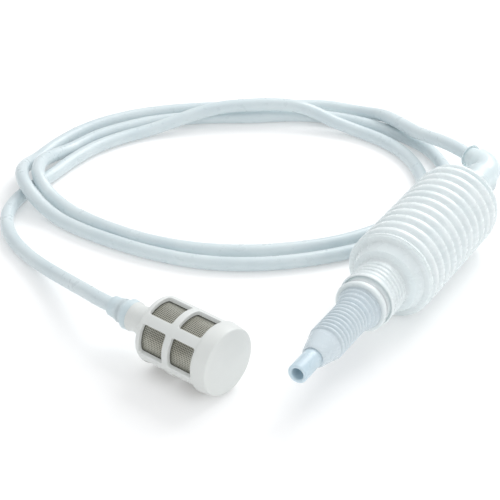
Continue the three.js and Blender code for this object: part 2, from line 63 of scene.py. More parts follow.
# ---- places taken from the frame ----
BODY_LOW, BODY_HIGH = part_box("pump_body")
AXIS_Z = (BODY_LOW.z + BODY_HIGH.z) / 2
BULB_RADIUS = (BODY_HIGH.y - BODY_LOW.y) / 2
PUMP_AXIS = Vector((0, 0, AXIS_Z))
MOUNTS = {mount["name"]: mount for mount in frame["record"]["mounts"]}
STRAINER_FACE = Vector(MOUNTS["strainer_end_face"]["pos_m"])
STRAINER_AXIS = Vector(MOUNTS["strainer_end_face"]["axis"]).normalized()
STRAINER_LENGTH = 48 * MM  # from the back ring to the cap's face
STRAINER_BACK = STRAINER_FACE - STRAINER_LENGTH * STRAINER_AXIS

# ---- sizes: those with MM are metres, the others millimetres along and about a piece's axis ----
PATH_STEPS = 8  # centre line points between two points of the hose's route
FINE_SIDES = 96
TUBE_SIDES = 28
ARC_STEPS = 5  # segments in a rounded corner
WAVE_STEPS = 12  # segments in one rib of a wave
SHARP_ANGLE = math.radians(38)

HOSE_DIAMETER = 8 * MM
HOSE_WALL = 1.25 * MM
RIBS_REAR, RIBS_FRONT, RIB_COUNT, RIB_DEPTH = -62, 20, 11, 2.3
BULB_WALL = 1.3
REAR_NECK_END, FRONT_LIP_END = BODY_LOW.x / MM, BODY_HIGH.x / MM
NECK_RADIUS = 14.5
THREAD_START, THREAD_END, THREAD_PITCH, THREAD_HEIGHT = 33.5, 47.5, 3.2, 0.75
THREAD_STEP = 0.4  # between the neck's points along the thread
CORRUGATION_REAR, CORRUGATION_FRONT, CORRUGATION_COUNT = 68, 96, 9
CORRUGATION_RADIUS, CORRUGATION_DEPTH, SPOUT_WALL = 9.9, 1.5, 1.1

ELBOW_CORNER = PUMP_AXIS + Vector((-111, 0, 0)) * MM
ELBOW_BEND = math.radians(65)
ELBOW_BEND_RADIUS = 11 * MM
ELBOW_LEG = 19 * MM
ELBOW_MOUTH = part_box("inlet_elbow")[1].x
HOSE_IN_ELBOW, HOSE_IN_ADAPTER = 9 * MM, 6.5 * MM
ADAPTER_END = -32 * MM
HOSE_LEAD_IN = 10 * MM

CAGE_RADIUS, CAGE_WALL, CAGE_LENGTH = 18.2, 2.2, 38.6
CAGE_BACK_RING, CAGE_MIDDLE_RING, CAGE_END_RING = 2.8, (18.2, 22.2), 1.3
CAGE_RIB_WIDTH, CAGE_RIB_COUNT, CAGE_RIB_TURN = 6.0, 5, math.radians(41)
WINDOW_CORNER, WINDOW_ROUND = 1.2, 0.45  # radius of a window's corners, and of its edges
MESH_PITCH = 1.05 * MM  # between the wires of the strainer's cloth

# The hose's route on the ground: round outside, twice behind the bulb, over its own turns at the
# far side, and up to the strainer's adapter.
HOSE_ROUTE = [
    (-0.125, -0.03, 0.0246), (-0.131, -0.041, 0.0226), (-0.1385, -0.053, 0.019), (-0.147, -0.066, 0.0155),
    (-0.1555, -0.08, 0.0134), (-0.163, -0.094, 0.0112), (-0.1685, -0.108, 0.0072), (-0.171, -0.122, 0.0044),
    (-0.1685, -0.138, 0.0042), (-0.159, -0.156, 0.0042), (-0.142, -0.18, 0.0042), (-0.126, -0.206, 0.0042),
    (-0.105, -0.231, 0.0042), (-0.086, -0.246, 0.0042), (-0.064, -0.256, 0.0042), (-0.041, -0.26, 0.0042),
    (-0.017, -0.259, 0.0052), (0.001, -0.255, 0.0096), (0.014, -0.248, 0.013), (0.024, -0.238, 0.0128),
    (0.031, -0.224, 0.0086), (0.035, -0.208, 0.0046), (0.0385, -0.19, 0.0042), (0.04, -0.17, 0.0042),
    (0.0395, -0.142, 0.0042), (0.034, -0.112, 0.0042), (0.022, -0.086, 0.0042), (0.005, -0.064, 0.0042),
    (-0.014, -0.0465, 0.0042), (-0.033, -0.0335, 0.0042), (-0.055, -0.025, 0.0042), (-0.079, -0.0225, 0.0042),
    (-0.103, -0.024, 0.0042), (-0.122, -0.031, 0.0042), (-0.137, -0.0425, 0.0042), (-0.148, -0.056, 0.0042),
    (-0.155, -0.073, 0.0042), (-0.1585, -0.092, 0.0042), (-0.1585, -0.112, 0.0042), (-0.155, -0.132, 0.0042),
    (-0.147, -0.151, 0.0042), (-0.131, -0.174, 0.0042), (-0.115, -0.2, 0.0042), (-0.095, -0.2235, 0.0042),
    (-0.079, -0.235, 0.0042), (-0.06, -0.2445, 0.0042), (-0.039, -0.249, 0.0042), (-0.02, -0.2495, 0.008),
    (-0.002, -0.246, 0.0126), (0.011, -0.238, 0.0129), (0.019, -0.226, 0.009), (0.023, -0.211, 0.0048),
    (0.027, -0.194, 0.0042), (0.0295, -0.172, 0.0042), (0.029, -0.146, 0.0042), (0.0225, -0.118, 0.0042),
    (0.0105, -0.093, 0.0042), (-0.0045, -0.073, 0.0042), (-0.021, -0.0565, 0.0042), (-0.039, -0.0445, 0.0042),
    (-0.058, -0.0365, 0.0042), (-0.078, -0.0335, 0.0042), (-0.097, -0.0365, 0.0042), (-0.114, -0.045, 0.0042),
    (-0.128, -0.057, 0.0042), (-0.1385, -0.0715, 0.0042), (-0.145, -0.088, 0.0042), (-0.1475, -0.105, 0.0046),
    (-0.147, -0.121, 0.007), (-0.146, -0.134, 0.0105), (-0.1435, -0.146, 0.0132), (-0.138, -0.16, 0.0138),
    (-0.129, -0.174, 0.0138), (-0.1185, -0.188, 0.013), (-0.1065, -0.2005, 0.0104), (-0.094, -0.211, 0.007),
    (-0.082, -0.2205, 0.0046), (-0.066, -0.23, 0.0042), (-0.048, -0.237, 0.0042), (-0.028, -0.24, 0.0042),
    (-0.008, -0.2405, 0.0042), (0.012, -0.2415, 0.0042), (0.029, -0.241, 0.0042), (0.044, -0.2365, 0.0042),
    (0.057, -0.2275, 0.0042), (0.0675, -0.215, 0.0042), (0.0762, -0.1995, 0.0046), (0.0832, -0.1847, 0.0062),
    (0.0894, -0.1713, 0.0086), (0.0947, -0.16, 0.0111), (0.0999, -0.1496, 0.0137), (0.1047, -0.1403, 0.0162),
    (0.1088, -0.1322, 0.0183),
]

# ---- lines that turned pieces follow ----

def straight(origin, direction):
    """A straight axis: the place and the direction at a distance along it, in millimetres."""
    def line(distance):
        return origin + distance * MM * direction, direction
    return line


PUMP_LINE = straight(PUMP_AXIS, Vector((1, 0, 0)))
STRAINER_LINE = straight(STRAINER_BACK, STRAINER_AXIS)
LEG_DIRECTION = Vector((-math.cos(ELBOW_BEND), -math.sin(ELBOW_BEND), 0))


def elbow_line(distance):
    """The inlet's centre line, from its socket's mouth round the bend to the open end of its leg."""
    along = distance * MM
    reach = ELBOW_BEND_RADIUS * math.tan(ELBOW_BEND / 2)
    before_bend = ELBOW_MOUTH - ELBOW_CORNER.x - reach
    bend_length = ELBOW_BEND_RADIUS * ELBOW_BEND
    if along <= before_bend:
        return Vector((ELBOW_MOUTH - along, 0, AXIS_Z)), Vector((-1, 0, 0))
    if along <= before_bend + bend_length:
        turn = (along - before_bend) / ELBOW_BEND_RADIUS
        centre = ELBOW_CORNER + Vector((reach, -ELBOW_BEND_RADIUS, 0))
        outwards = Vector((-math.sin(turn), math.cos(turn), 0))
        return centre + ELBOW_BEND_RADIUS * outwards, Vector((-math.cos(turn), -math.sin(turn), 0))
    after_bend = along - before_bend - bend_length
    return ELBOW_CORNER + (reach + after_bend) * LEG_DIRECTION, LEG_DIRECTION


def elbow_length():
    reach = ELBOW_BEND_RADIUS * math.tan(ELBOW_BEND / 2)
    before_bend = ELBOW_MOUTH - ELBOW_CORNER.x - reach
    return (before_bend + ELBOW_BEND_RADIUS * ELBOW_BEND + ELBOW_LEG - reach) / MM


def centripetal(points, steps):
    """A centripetal Catmull-Rom curve through the points."""
    points = [np.array(point, float) for point in points]
    curve = []
    for i in range(len(points) - 1):
        p1, p2 = points[i], points[i + 1]
        p0 = points[i - 1] if i > 0 else 2 * points[0] - points[1]
        p3 = points[i + 2] if i + 2 < len(points) else 2 * points[-1] - points[-2]
        t0, t1, t2 = (math.sqrt(np.linalg.norm(b - a)) for a, b in ((p0, p1), (p1, p2), (p2, p3)))
        m1 = ((p1 - p0) / t0 - (p2 - p0) / (t0 + t1) + (p2 - p1) / t1) * t1
        m2 = ((p2 - p1) / t1 - (p3 - p1) / (t1 + t2) + (p3 - p2) / t2) * t1
        for step in range(steps):
            s = step / steps
            cubic = (2 * p1 - 2 * p2 + m1 + m2) * s**3
            curve.append(p1 + m1 * s + (-3 * p1 + 3 * p2 - 2 * m1 - m2) * s**2 + cubic)
    curve.append(points[-1])
    return curve


# ---- mesh helpers ----

def piece(name, vertices, faces, sharp=SHARP_ANGLE):
    """A smooth-shaded mesh object with its faces pointing out, sharp where it turns hard."""
    mesh = bpy.data.meshes.new(name)
    mesh.from_pydata(vertices, [], faces)
    mesh.update()
    turned_out = bmesh.new()
    turned_out.from_mesh(mesh)
    bmesh.ops.remove_doubles(turned_out, verts=turned_out.verts, dist=1e-7)
    bmesh.ops.recalc_face_normals(turned_out, faces=turned_out.faces)
    turned_out.to_mesh(mesh)
    turned_out.free()
    mesh.shade_smooth()
    mesh.set_sharp_from_angle(angle=sharp)
    obj = bpy.data.objects.new(name, mesh)
    bpy.context.scene.collection.objects.link(obj)
    return obj


def rounded(outline, closed=True):
    """The outline's points, with an arc at each corner that gives a radius as its third number."""
    points = []
    count = len(outline)
    for i, (x, r, *rest) in enumerate(outline):
        here = Vector((x, r))
        at_end = not closed and i in (0, count - 1)
        if not rest or at_end:
            points.append((x, r))
            continue
        before = Vector(outline[i - 1][:2]) - here
        after = Vector(outline[(i + 1) % count][:2]) - here
        opening = before.angle(after)
        if opening > math.radians(179):
            points.append((x, r))
            continue
        most = 0.48 * min(before.length, after.length)
        cut = min(rest[0] / math.tan(opening / 2), most)
        radius = cut * math.tan(opening / 2)
        middle = (before.normalized() + after.normalized()).normalized()
        centre = here + middle * radius / math.sin(opening / 2)
        first = here + before.normalized() * cut - centre
        last = here + after.normalized() * cut - centre
        for step in range(ARC_STEPS + 1):
            spoke = first.slerp(last, step / ARC_STEPS)
            points.append(tuple(centre + spoke))
    return points


def wave(start, end, count, crest, depth, valley=2.0, end_crest=None):
    """Ribs with narrow grooves between two places, their crests level or tapering to another radius."""
    end_crest = crest if end_crest is None else end_crest
    points = []
    for i in range(count * WAVE_STEPS + 1):
        share = i / (count * WAVE_STEPS)
        groove = (0.5 + 0.5 * math.cos(2 * math.pi * i / WAVE_STEPS)) ** valley
        radius = crest + (end_crest - crest) * share - depth * groove
        points.append((start + (end - start) * share, radius))
    return points


def turned(name, outline, line, sides=FINE_SIDES, closed=True, shape=None):
    """A piece turned about a line, from outline points (distance, radius) in millimetres."""
    vertices = []
    rings = []
    for distance, radius in outline:
        centre, direction = line(distance)
        side = Vector((0, 0, 1)).cross(direction).normalized()
        up = direction.cross(side)
        if radius < 1e-6:
            rings.append([len(vertices)] * sides)
            vertices.append(centre)
            continue
        rings.append(list(range(len(vertices), len(vertices) + sides)))
        for k in range(sides):
            angle = 2 * math.pi * k / sides
            grown = shape(distance, radius, angle) if shape else radius
            spoke = math.cos(angle) * up + math.sin(angle) * side
            vertices.append(centre + grown * MM * spoke)
    pairs = list(zip(rings, rings[1:] + rings[:1])) if closed else list(zip(rings, rings[1:]))
    faces = []
    for ring, following in pairs:
        for k in range(sides):
            n = (k + 1) % sides
            corners = [ring[k], ring[n], following[n], following[k]]
            face = list(dict.fromkeys(corners))
            if len(face) > 2:
                faces.append(face)
    return piece(name, vertices, faces)


def tube(name, centres, radius, wall, sides):
    """A hollow tube along a free line, its section carried along without twist."""
    centres = [Vector(centre) for centre in centres]
    count = len(centres)
    side = None
    vertices = []
    for i, centre in enumerate(centres):
        direction = (centres[min(i + 1, count - 1)] - centres[max(i - 1, 0)]).normalized()
        if side is None:
            side = Vector((0, 0, 1)).cross(direction)
        side = (side - side.dot(direction) * direction).normalized()
        up = direction.cross(side)
        for ring_radius in (radius, radius - wall):
            for k in range(sides):
                angle = 2 * math.pi * k / sides
                vertices.append(centre + ring_radius * (math.cos(angle) * up + math.sin(angle) * side))
    faces = []
    for i in range(count - 1):
        for shell in (0, 1):
            a = (2 * i + shell) * sides
            b = a + 2 * sides
            for k in range(sides):
                n = (k + 1) % sides
                faces.append([a + k, a + n, b + n, b + k])
    for start in (0, 2 * (count - 1) * sides):
        for k in range(sides):
            n = (k + 1) % sides
            faces.append([start + k, start + n, start + sides + n, start + sides + k])
    return piece(name, vertices, faces)


# ---- material helpers ----

def new_material(name, **settings):
    """A material whose shader has these settings on its own sockets."""
    material = bpy.data.materials.new(name)
    material.use_nodes = True
    shader = material.node_tree.nodes["Principled BSDF"]
    for socket, value in settings.items():
        shader.inputs[socket.replace("_", " ")].default_value = value
    return material, material.node_tree, shader


def noise(tree, scale, detail, stretch=(1, 1, 1)):
    """Noise in the object's own coordinates, its scale in waves per metre."""
    coordinates = tree.nodes.new("ShaderNodeTexCoord")
    mapping = tree.nodes.new("ShaderNodeMapping")
    mapping.inputs["Scale"].default_value = stretch
    texture = tree.nodes.new("ShaderNodeTexNoise")
    texture.inputs["Scale"].default_value = scale
    texture.inputs["Detail"].default_value = detail
    tree.links.new(coordinates.outputs["Object"], mapping.inputs["Vector"])
    tree.links.new(mapping.outputs["Vector"], texture.inputs["Vector"])
    return texture.outputs["Fac"]


def ramp(tree, value, stops):
    """Colours or greys along a value: stops are (place, colour)."""
    node = tree.nodes.new("ShaderNodeValToRGB")
    elements = node.color_ramp.elements
    while len(elements) < len(stops):
        elements.new(0.5)
    for element, (place, colour) in zip(elements, stops):
        element.position = place
        element.color = (*colour, 1) if isinstance(colour, tuple) else (colour, colour, colour, 1)
    tree.links.new(value, node.inputs["Fac"])
    return node.outputs["Color"]


def bump(tree, shader, height, strength, distance, under=None):
    """Relief of a given depth in metres, over another relief if one is given."""
    node = tree.nodes.new("ShaderNodeBump")
    node.inputs["Strength"].default_value = strength
    node.inputs["Distance"].default_value = distance
    tree.links.new(height, node.inputs["Height"])
    if under is not None:
        tree.links.new(under, node.inputs["Normal"])
    tree.links.new(node.outputs["Normal"], shader.inputs["Normal"])
    return node.outputs["Normal"]


def moulded(name, light, dark, roughness, milkiness, depth, grain):
    """Moulded milky plastic: clouded colour, faint flow marks, fine grain and uneven gloss."""
    material, tree, shader = new_material(
        name, Subsurface_Weight=milkiness, Subsurface_Scale=depth, IOR=1.5, Roughness=roughness,
    )
    shader.inputs["Subsurface Radius"].default_value = (1.0, 1.0, 1.0)
    clouds = noise(tree, 45, detail=4)
    tree.links.new(ramp(tree, clouds, [(0.3, dark), (0.7, light)]), shader.inputs["Base Color"])
    wear = noise(tree, 180, detail=3, stretch=(1, 1, 2))
    gloss = ramp(tree, wear, [(0.3, roughness - 0.04), (0.7, roughness + 0.05)])
    tree.links.new(gloss, shader.inputs["Roughness"])
    flow = bump(tree, shader, noise(tree, 110, detail=2), 0.12, 0.0002)
    bump(tree, shader, noise(tree, grain, detail=2), 0.08, 0.00004, under=flow)
    return material


# Each slot's plastic: name, light colour, dark colour, roughness, milkiness, how deep light goes in
# metres, and the waves per metre of its grain.
PLASTICS = {
    "bulb": ("bulb_polyethylene", (0.84, 0.905, 0.915), (0.76, 0.84, 0.855), 0.26, 0.4, 0.003, 900),
    "spout": ("spout_polyethylene", (0.67, 0.745, 0.785), (0.6, 0.68, 0.725), 0.26, 0.35, 0.002, 900),
    "nozzle": ("nozzle_polyethylene", (0.6, 0.72, 0.79), (0.55, 0.67, 0.745), 0.3, 0.6, 0.004, 900),
    "hose": ("hose_vinyl", (0.69, 0.765, 0.785), (0.62, 0.705, 0.735), 0.3, 0.3, 0.002, 1500),
    "adapter": ("adapter_soft_vinyl", (0.66, 0.755, 0.785), (0.59, 0.69, 0.73), 0.36, 0.3, 0.002, 900),
    "elbow": ("elbow_polyethylene", (0.74, 0.825, 0.84), (0.67, 0.76, 0.785), 0.2, 0.3, 0.002, 900),
    "strainer_plastic": (
        "white_polypropylene", (0.77, 0.79, 0.77), (0.725, 0.745, 0.73), 0.4, 0.2, 0.001, 1300,
    ),
    "collar": ("collar_polypropylene", (0.84, 0.9, 0.905), (0.78, 0.845, 0.855), 0.3, 0.35, 0.002, 900),
    "valve": ("valve_polypropylene", (0.8, 0.8, 0.78), (0.74, 0.74, 0.72), 0.45, 0.3, 0.001, 900),
    "gasket": ("gasket_silicone", (0.6, 0.63, 0.65), (0.52, 0.55, 0.57), 0.6, 0.3, 0.001, 1600),
}


def plastic(slot):
    return moulded(*PLASTICS[slot])


def woven_steel():
    """Plain-woven fine steel wire: each wire goes over and under its neighbours."""
    material, tree, shader = new_material("woven_steel", Metallic=0.85)
    uv = tree.nodes.new("ShaderNodeUVMap")
    separate = tree.nodes.new("ShaderNodeSeparateXYZ")
    tree.links.new(uv.outputs["UV"], separate.inputs["Vector"])

    def math_node(operation, a, b=None):
        node = tree.nodes.new("ShaderNodeMath")
        node.operation = operation
        for socket, value in zip(node.inputs, (a, b)):
            if value is None:
                continue
            if isinstance(value, float):
                socket.default_value = value
            else:
                tree.links.new(value, socket)
        return node.outputs["Value"]

    across = math_node("MULTIPLY", separate.outputs["X"], math.pi)
    along = math_node("MULTIPLY", separate.outputs["Y"], math.pi)
    sine_across, sine_along = math_node("SINE", across), math_node("SINE", along)
    wire_across = math_node("ABSOLUTE", sine_across)
    wire_along = math_node("ABSOLUTE", sine_along)
    over = math_node("MULTIPLY", math_node("COSINE", across), math_node("COSINE", along))
    lift = math_node("MULTIPLY", over, 0.35)
    first = math_node("ADD", wire_across, lift)
    second = math_node("SUBTRACT", wire_along, lift)
    height = math_node("MAXIMUM", first, second)
    # These stops paint shade: near black in the gaps between the wires and darker down each wire's sides,
    # where light falls into the weave's holes and dips. Only the pale grey of the crests is the steel's own
    # colour.
    steel = [(0.5, (0.02, 0.02, 0.018)), (0.8, (0.13, 0.13, 0.12)), (1.05, (0.55, 0.55, 0.5))]
    tint = noise(tree, 90, detail=3)
    weave_with_painted_shade = ramp(tree, height, steel)
    mix = tree.nodes.new("ShaderNodeMix")
    mix.data_type = "RGBA"
    mix.blend_type = "MULTIPLY"
    mix.inputs["Factor"].default_value = 1.0
    tree.links.new(weave_with_painted_shade, mix.inputs["A"])
    shades = [(0.3, (0.78, 0.76, 0.7)), (0.7, (1.0, 1.0, 0.96))]
    tree.links.new(ramp(tree, tint, shades), mix.inputs["B"])
    tree.links.new(mix.outputs["Result"], shader.inputs["Base Color"])
    tree.links.new(ramp(tree, height, [(0.4, 0.7), (1.0, 0.32)]), shader.inputs["Roughness"])
    bump(tree, shader, height, 0.8, 0.00012)
    return material


def dress(obj, material, body=None):
    """Gives a piece its material and slot, and lets it ride on its body."""
    obj.data.materials.clear()
    obj.data.materials.append(material)
    if body:
        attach(obj, body)


# ---- camera ----

def photo_camera():
    """The photograph's view: from the front right and above, with a long lens."""
    azimuth, elevation = math.radians(120), math.radians(32)
    looked_at = Vector((0.0033, -0.0969, 0))
    distance = 0.99
    back = Vector((
        math.sin(azimuth) * math.cos(elevation),
        -math.cos(azimuth) * math.cos(elevation),
        math.sin(elevation),
    ))
    data = bpy.data.cameras.new("photo_view")
    data.sensor_width = 36
    data.lens = 125.28
    data.clip_end = 20
    camera = bpy.data.objects.new("photo_view", data)
    camera.location = looked_at + distance * back
    camera.rotation_euler = (-back).to_track_quat("-Z", "Y").to_euler()
    bpy.context.scene.collection.objects.link(camera)
    bpy.context.scene.camera = camera


# ---- hose ----

def hose():
    leg_end = ELBOW_CORNER + ELBOW_LEG * LEG_DIRECTION
    in_elbow = leg_end - HOSE_IN_ELBOW * LEG_DIRECTION
    adapter_mouth = STRAINER_BACK + (ADAPTER_END - HOSE_LEAD_IN) * STRAINER_AXIS
    in_adapter = STRAINER_BACK + (ADAPTER_END + HOSE_IN_ADAPTER) * STRAINER_AXIS
    centres = centripetal([in_elbow, leg_end, *HOSE_ROUTE, adapter_mouth, in_adapter], PATH_STEPS)
    for centre in centres:
        centre[2] = max(centre[2], HOSE_DIAMETER / 2)
    obj = tube("soft_hose", centres, HOSE_DIAMETER / 2, HOSE_WALL, TUBE_SIDES)
    dress(obj, plastic("hose"), "pump_rear")
    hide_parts("hose")
    return obj, centres, leg_end


# ---- pump ----

def ribbed_bulb():
    outer = rounded([
        (REAR_NECK_END, 9.0, 0.4), (-72, 9.0, 2.0), (-69.5, 13.5, 3.0), (-66.8, 24.4, 3.5),
        (-64.5, 25.0, 2.0), (-63.2, 24.4, 0.8),
    ], closed=False)
    outer += wave(RIBS_REAR, RIBS_FRONT, RIB_COUNT, BULB_RADIUS / MM, RIB_DEPTH)
    outer += rounded([
        (21.0, 24.3, 0.8), (22.0, 24.9, 1.2), (23.6, 24.9, 2.0), (26.6, 22.4, 3.5), (28.4, 16.6, 3.0),
        (31.5, 14.6, 1.5), (33, NECK_RADIUS),
    ], closed=False)
    thread_points = int((THREAD_END - THREAD_START) / THREAD_STEP) + 1
    outer += [(THREAD_START + THREAD_STEP * i, NECK_RADIUS) for i in range(thread_points)]
    outer += rounded([
        (48.4, NECK_RADIUS, 0.3), (49.42, 14.4, 0.1), (49.42, 12.8, 0.1), (FRONT_LIP_END, 12.8, 0.4),
    ], closed=False)
    inner = rounded([
        (FRONT_LIP_END, 11.5, 0.4), (48, 11.5, 0.5), (46.5, 13.2, 0.5), (30.5, 13.2, 2.0), (27.3, 15.4, 2.5),
        (25.3, 21.3, 3.0), (22.0, 23.2, 1.5), (20.6, 22.6),
    ], closed=False)
    inner += wave(RIBS_REAR, RIBS_FRONT, RIB_COUNT, BULB_RADIUS / MM - BULB_WALL, RIB_DEPTH)[::-1]
    inner += rounded([
        (-64.5, 23.4, 1.5), (-66.0, 22.6, 2.0), (-68.3, 12.6, 2.5), (-71.5, 7.7, 2.0),
        (REAR_NECK_END, 7.7, 0.4),
    ], closed=False)

    def threaded(distance, radius, angle):
        if radius != NECK_RADIUS or not THREAD_START <= distance <= THREAD_END:
            return radius
        turn = (distance - THREAD_START) / THREAD_PITCH - angle / (2 * math.pi)
        fade = min(1, (distance - THREAD_START) / 2, (THREAD_END - distance) / 2)
        crest = max(0, math.cos(2 * math.pi * turn)) ** 0.7
        return radius + THREAD_HEIGHT * max(fade, 0) * crest

    obj = turned("ribbed_bulb", outer + inner, PUMP_LINE, shape=threaded)
    dress(obj, plastic("bulb"))
    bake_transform(obj)
    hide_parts("pump_body")


def collar_ring():
    low, high = (corner.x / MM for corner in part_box("screw_collar"))
    obj = turned("collar_ring", rounded([
        (low, 13.2, 0.2), (low, 14.8, 0.3), (low + 0.9, 14.8, 0.35), (low + 1.1, 14.4, 0.2),
        (high - 1.1, 13.5, 0.2), (high - 0.9, 13.9, 0.4), (high, 13.9, 0.4), (high, 12.42, 0.3),
        (high - 1.5, 12.42, 0.2), (high - 1.5, 13.15, 0.2),
    ]), PUMP_LINE)
    dress(obj, plastic("collar"), "collar")
    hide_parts("screw_collar")


def gasket_ring():
    low, high = (corner.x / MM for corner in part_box("neck_gasket"))
    obj = turned("gasket_ring", rounded([
        (low, 9.8, 0.2), (low, 12.8, 0.2), (high, 12.8, 0.2), (high, 9.8, 0.2),
    ]), PUMP_LINE)
    dress(obj, plastic("gasket"), "pump_front")
    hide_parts("neck_gasket")


def corrugated_spout():
    rear, front = (corner.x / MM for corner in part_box("flexible_spout"))
    waved = (CORRUGATION_REAR, CORRUGATION_FRONT, CORRUGATION_COUNT)
    outer = rounded([
        (rear, 12.8, 0.2), (rear + 1.2, 12.8, 0.2), (rear + 1.2, 12.3, 0.2), (58.2, 12.3, 0.3),
    ], closed=False)
    outer += wave(59, CORRUGATION_REAR, 3, 12.4, 0.9, valley=1.4, end_crest=CORRUGATION_RADIUS)[:-1]
    outer += wave(*waved, CORRUGATION_RADIUS, CORRUGATION_DEPTH, valley=1.4)
    outer += rounded([
        (97, 9.3, 0.8), (98.6, 9.2, 1.5), (front - 1.5, 6.5, 0.8), (front, 6.0, 0.6),
    ], closed=False)
    inner = rounded([
        (front, 5.0, 0.3), (101.7, 5.0, 0.2), (101.7, 3.6, 0.3), (100.5, 3.6, 0.5), (97, 7.2, 0.6),
    ], closed=False)
    inner += wave(*waved, CORRUGATION_RADIUS - SPOUT_WALL, CORRUGATION_DEPTH, valley=1.4)[::-1]
    inner += rounded([(67, 7.6, 0.5), (58.5, 11.2, 1.0), (rear, 11.2, 0.2)], closed=False)
    obj = turned("corrugated_spout", outer + inner, PUMP_LINE)
    dress(obj, plastic("spout"))
    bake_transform(obj)
    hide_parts("flexible_spout")


def nozzle_tube():
    rear, front = (corner.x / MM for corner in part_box("nozzle_tip"))
    obj = turned("nozzle_tube", rounded([
        (rear, 3.7, 0.2), (rear, 4.5, 0.3), (front, 4.5, 0.3), (front, 4.0, 0.2), (front - 2.5, 3.8, 1.0),
    ]), PUMP_LINE, sides=64)
    dress(obj, plastic("nozzle"), "nozzle")
    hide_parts("nozzle_tip")


# ---- check valves ----

def check_valve(prefix, seat_front, seat_radius, ball_radius, hole, body, ball_body):
    """A seat ring, a ball and a cage of four posts with a cross, each a piece of its own."""
    material = plastic("valve")
    seat = turned(f"{prefix}_seat_ring", rounded([
        (seat_front - 3, hole, 0.3), (seat_front - 3, seat_radius, 0.3), (seat_front, seat_radius, 0.3),
        (seat_front, hole + 1.1, 0.2), (seat_front - 1.1, hole, 0.1),
    ]), PUMP_LINE, sides=64)
    dress(seat, material, body)
    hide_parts(f"{prefix}_valve_seat")
    low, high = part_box(f"{prefix}_valve_ball")
    middle, arcs = (low.x + high.x) / 2 / MM, 24
    globe = [
        (middle - ball_radius * math.cos(math.pi * i / arcs), ball_radius * math.sin(math.pi * i / arcs))
        for i in range(arcs + 1)
    ]
    globe[-1] = (globe[-1][0], 0)
    ball = turned(f"{prefix}_ball", globe, PUMP_LINE, sides=48, closed=False)
    dress(ball, material, ball_body)
    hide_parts(f"{prefix}_valve_ball")
    cage_low, cage_high = (corner.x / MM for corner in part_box(f"{prefix}_valve_cage"))
    parts = [turned(f"{prefix}_rim", rounded([
        (cage_low, ball_radius + 0.6, 0.2), (cage_low, seat_radius, 0.2), (cage_low + 1.2, seat_radius, 0.2),
        (cage_low + 1.2, ball_radius + 0.6, 0.2),
    ]), PUMP_LINE, sides=64)]
    for i in range(4):
        turn = i * math.pi / 2
        out = Vector((0, math.sin(turn), math.cos(turn)))
        post = straight(PUMP_AXIS + (ball_radius + 1.4) * MM * out, Vector((1, 0, 0)))
        parts.append(turned(f"{prefix}_post", rounded([
            (cage_low + 0.6, 0), (cage_low + 0.6, 0.8, 0.1), (cage_high, 0.8, 0.4), (cage_high, 0),
        ], closed=False), post, sides=16, closed=False))
    for out in (Vector((0, 1, 0)), Vector((0, 0, 1))):
        reach = ball_radius + 2.0
        arm_line = cross_line(PUMP_AXIS + (cage_high - 0.6) * MM * Vector((1, 0, 0)), out)
        parts.append(turned(f"{prefix}_arm", rounded([
            (-reach, 0), (-reach, 0.6, 0.3), (reach, 0.6, 0.3), (reach, 0),
        ], closed=False), arm_line, sides=16, closed=False))
    cage = joined(f"{prefix}_cage", parts)
    dress(cage, material, body)
    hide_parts(f"{prefix}_valve_cage")


def cross_line(origin, direction):
    """An axis across the pump, with a slight lean: one straight up would leave turned() no side."""
    leaning = (direction + Vector((1e-4, 0, 0))).normalized()
    return straight(origin, leaning)


def joined(name, parts):
    """One object of several closed shells."""
    together = bmesh.new()
    for part in parts:
        together.from_mesh(part.data)
        bpy.data.objects.remove(part)
    mesh = bpy.data.meshes.new(name)
    together.to_mesh(mesh)
    together.free()
    mesh.shade_smooth()
    mesh.set_sharp_from_angle(angle=SHARP_ANGLE)
    obj = bpy.data.objects.new(name, mesh)
    bpy.context.scene.collection.objects.link(obj)
    return obj


# ---- inlet ----

def bent_inlet():
    length = elbow_length()
    step = 0.8
    sleeve_start = length - 8
    outer = rounded([
        (0, 9.5, 0.3), (0, 10.6, 0.6), (1.6, 10.8, 0.5), (10.5, 10.6, 3.0), (16.5, 7.8, 4.0), (18.0, 7.8),
    ], closed=False)
    outer += [(18.0 + step * i, 7.8) for i in range(1, int((sleeve_start - 19.0) / step))]
    outer += rounded([
        (sleeve_start - 0.6, 7.8, 1.2), (sleeve_start + 0.6, 6.4, 0.8), (length - 1.2, 6.3, 0.3),
        (length - 1.0, 6.4, 0.3), (length, 6.35, 0.4),
    ], closed=False)
    inner = rounded([(length, 4.15, 0.3), (length - 9.2, 4.15, 0.1), (length - 9.2, 3.4, 0.1)], closed=False)
    inner += [(length - 10 - step * i, 3.9) for i in range(int((length - 10 - 12) / step))]
    inner += rounded([(11.0, 3.9, 0.5), (9.2, 3.9, 0.3), (9.2, 9.3, 0.3), (0, 9.3, 0.3)], closed=False)
    obj = turned("bent_inlet", outer + inner, elbow_line, sides=64)
    dress(obj, plastic("elbow"), "pump_rear")
    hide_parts("inlet_elbow")


# ---- strainer ----

def strainer_adapter():
    end = ADAPTER_END / MM
    obj = turned("adapter_sleeve", rounded([
        (end, 4.15, 0.2), (end, 4.9, 0.5), (end + 1.8, 5.9, 1.2), (end + 3.4, 6.1, 1.4),
        (end + 4.8, 6.0, 1.0), (end + 6.6, 7.15, 1.5), (end + 8.6, 7.4, 2.0), (end + 10.2, 7.2, 1.0),
        (end + 12, 7.4, 2.0), (-17, 7.8, 0.6), (-17, 5.7, 0.2), (-24.8, 5.7, 0.2), (-24.8, 4.15, 0.2),
    ]), STRAINER_LINE, sides=64)
    dress(obj, plastic("adapter"), "pump_rear")
    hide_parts("hose_adapter")
    return obj


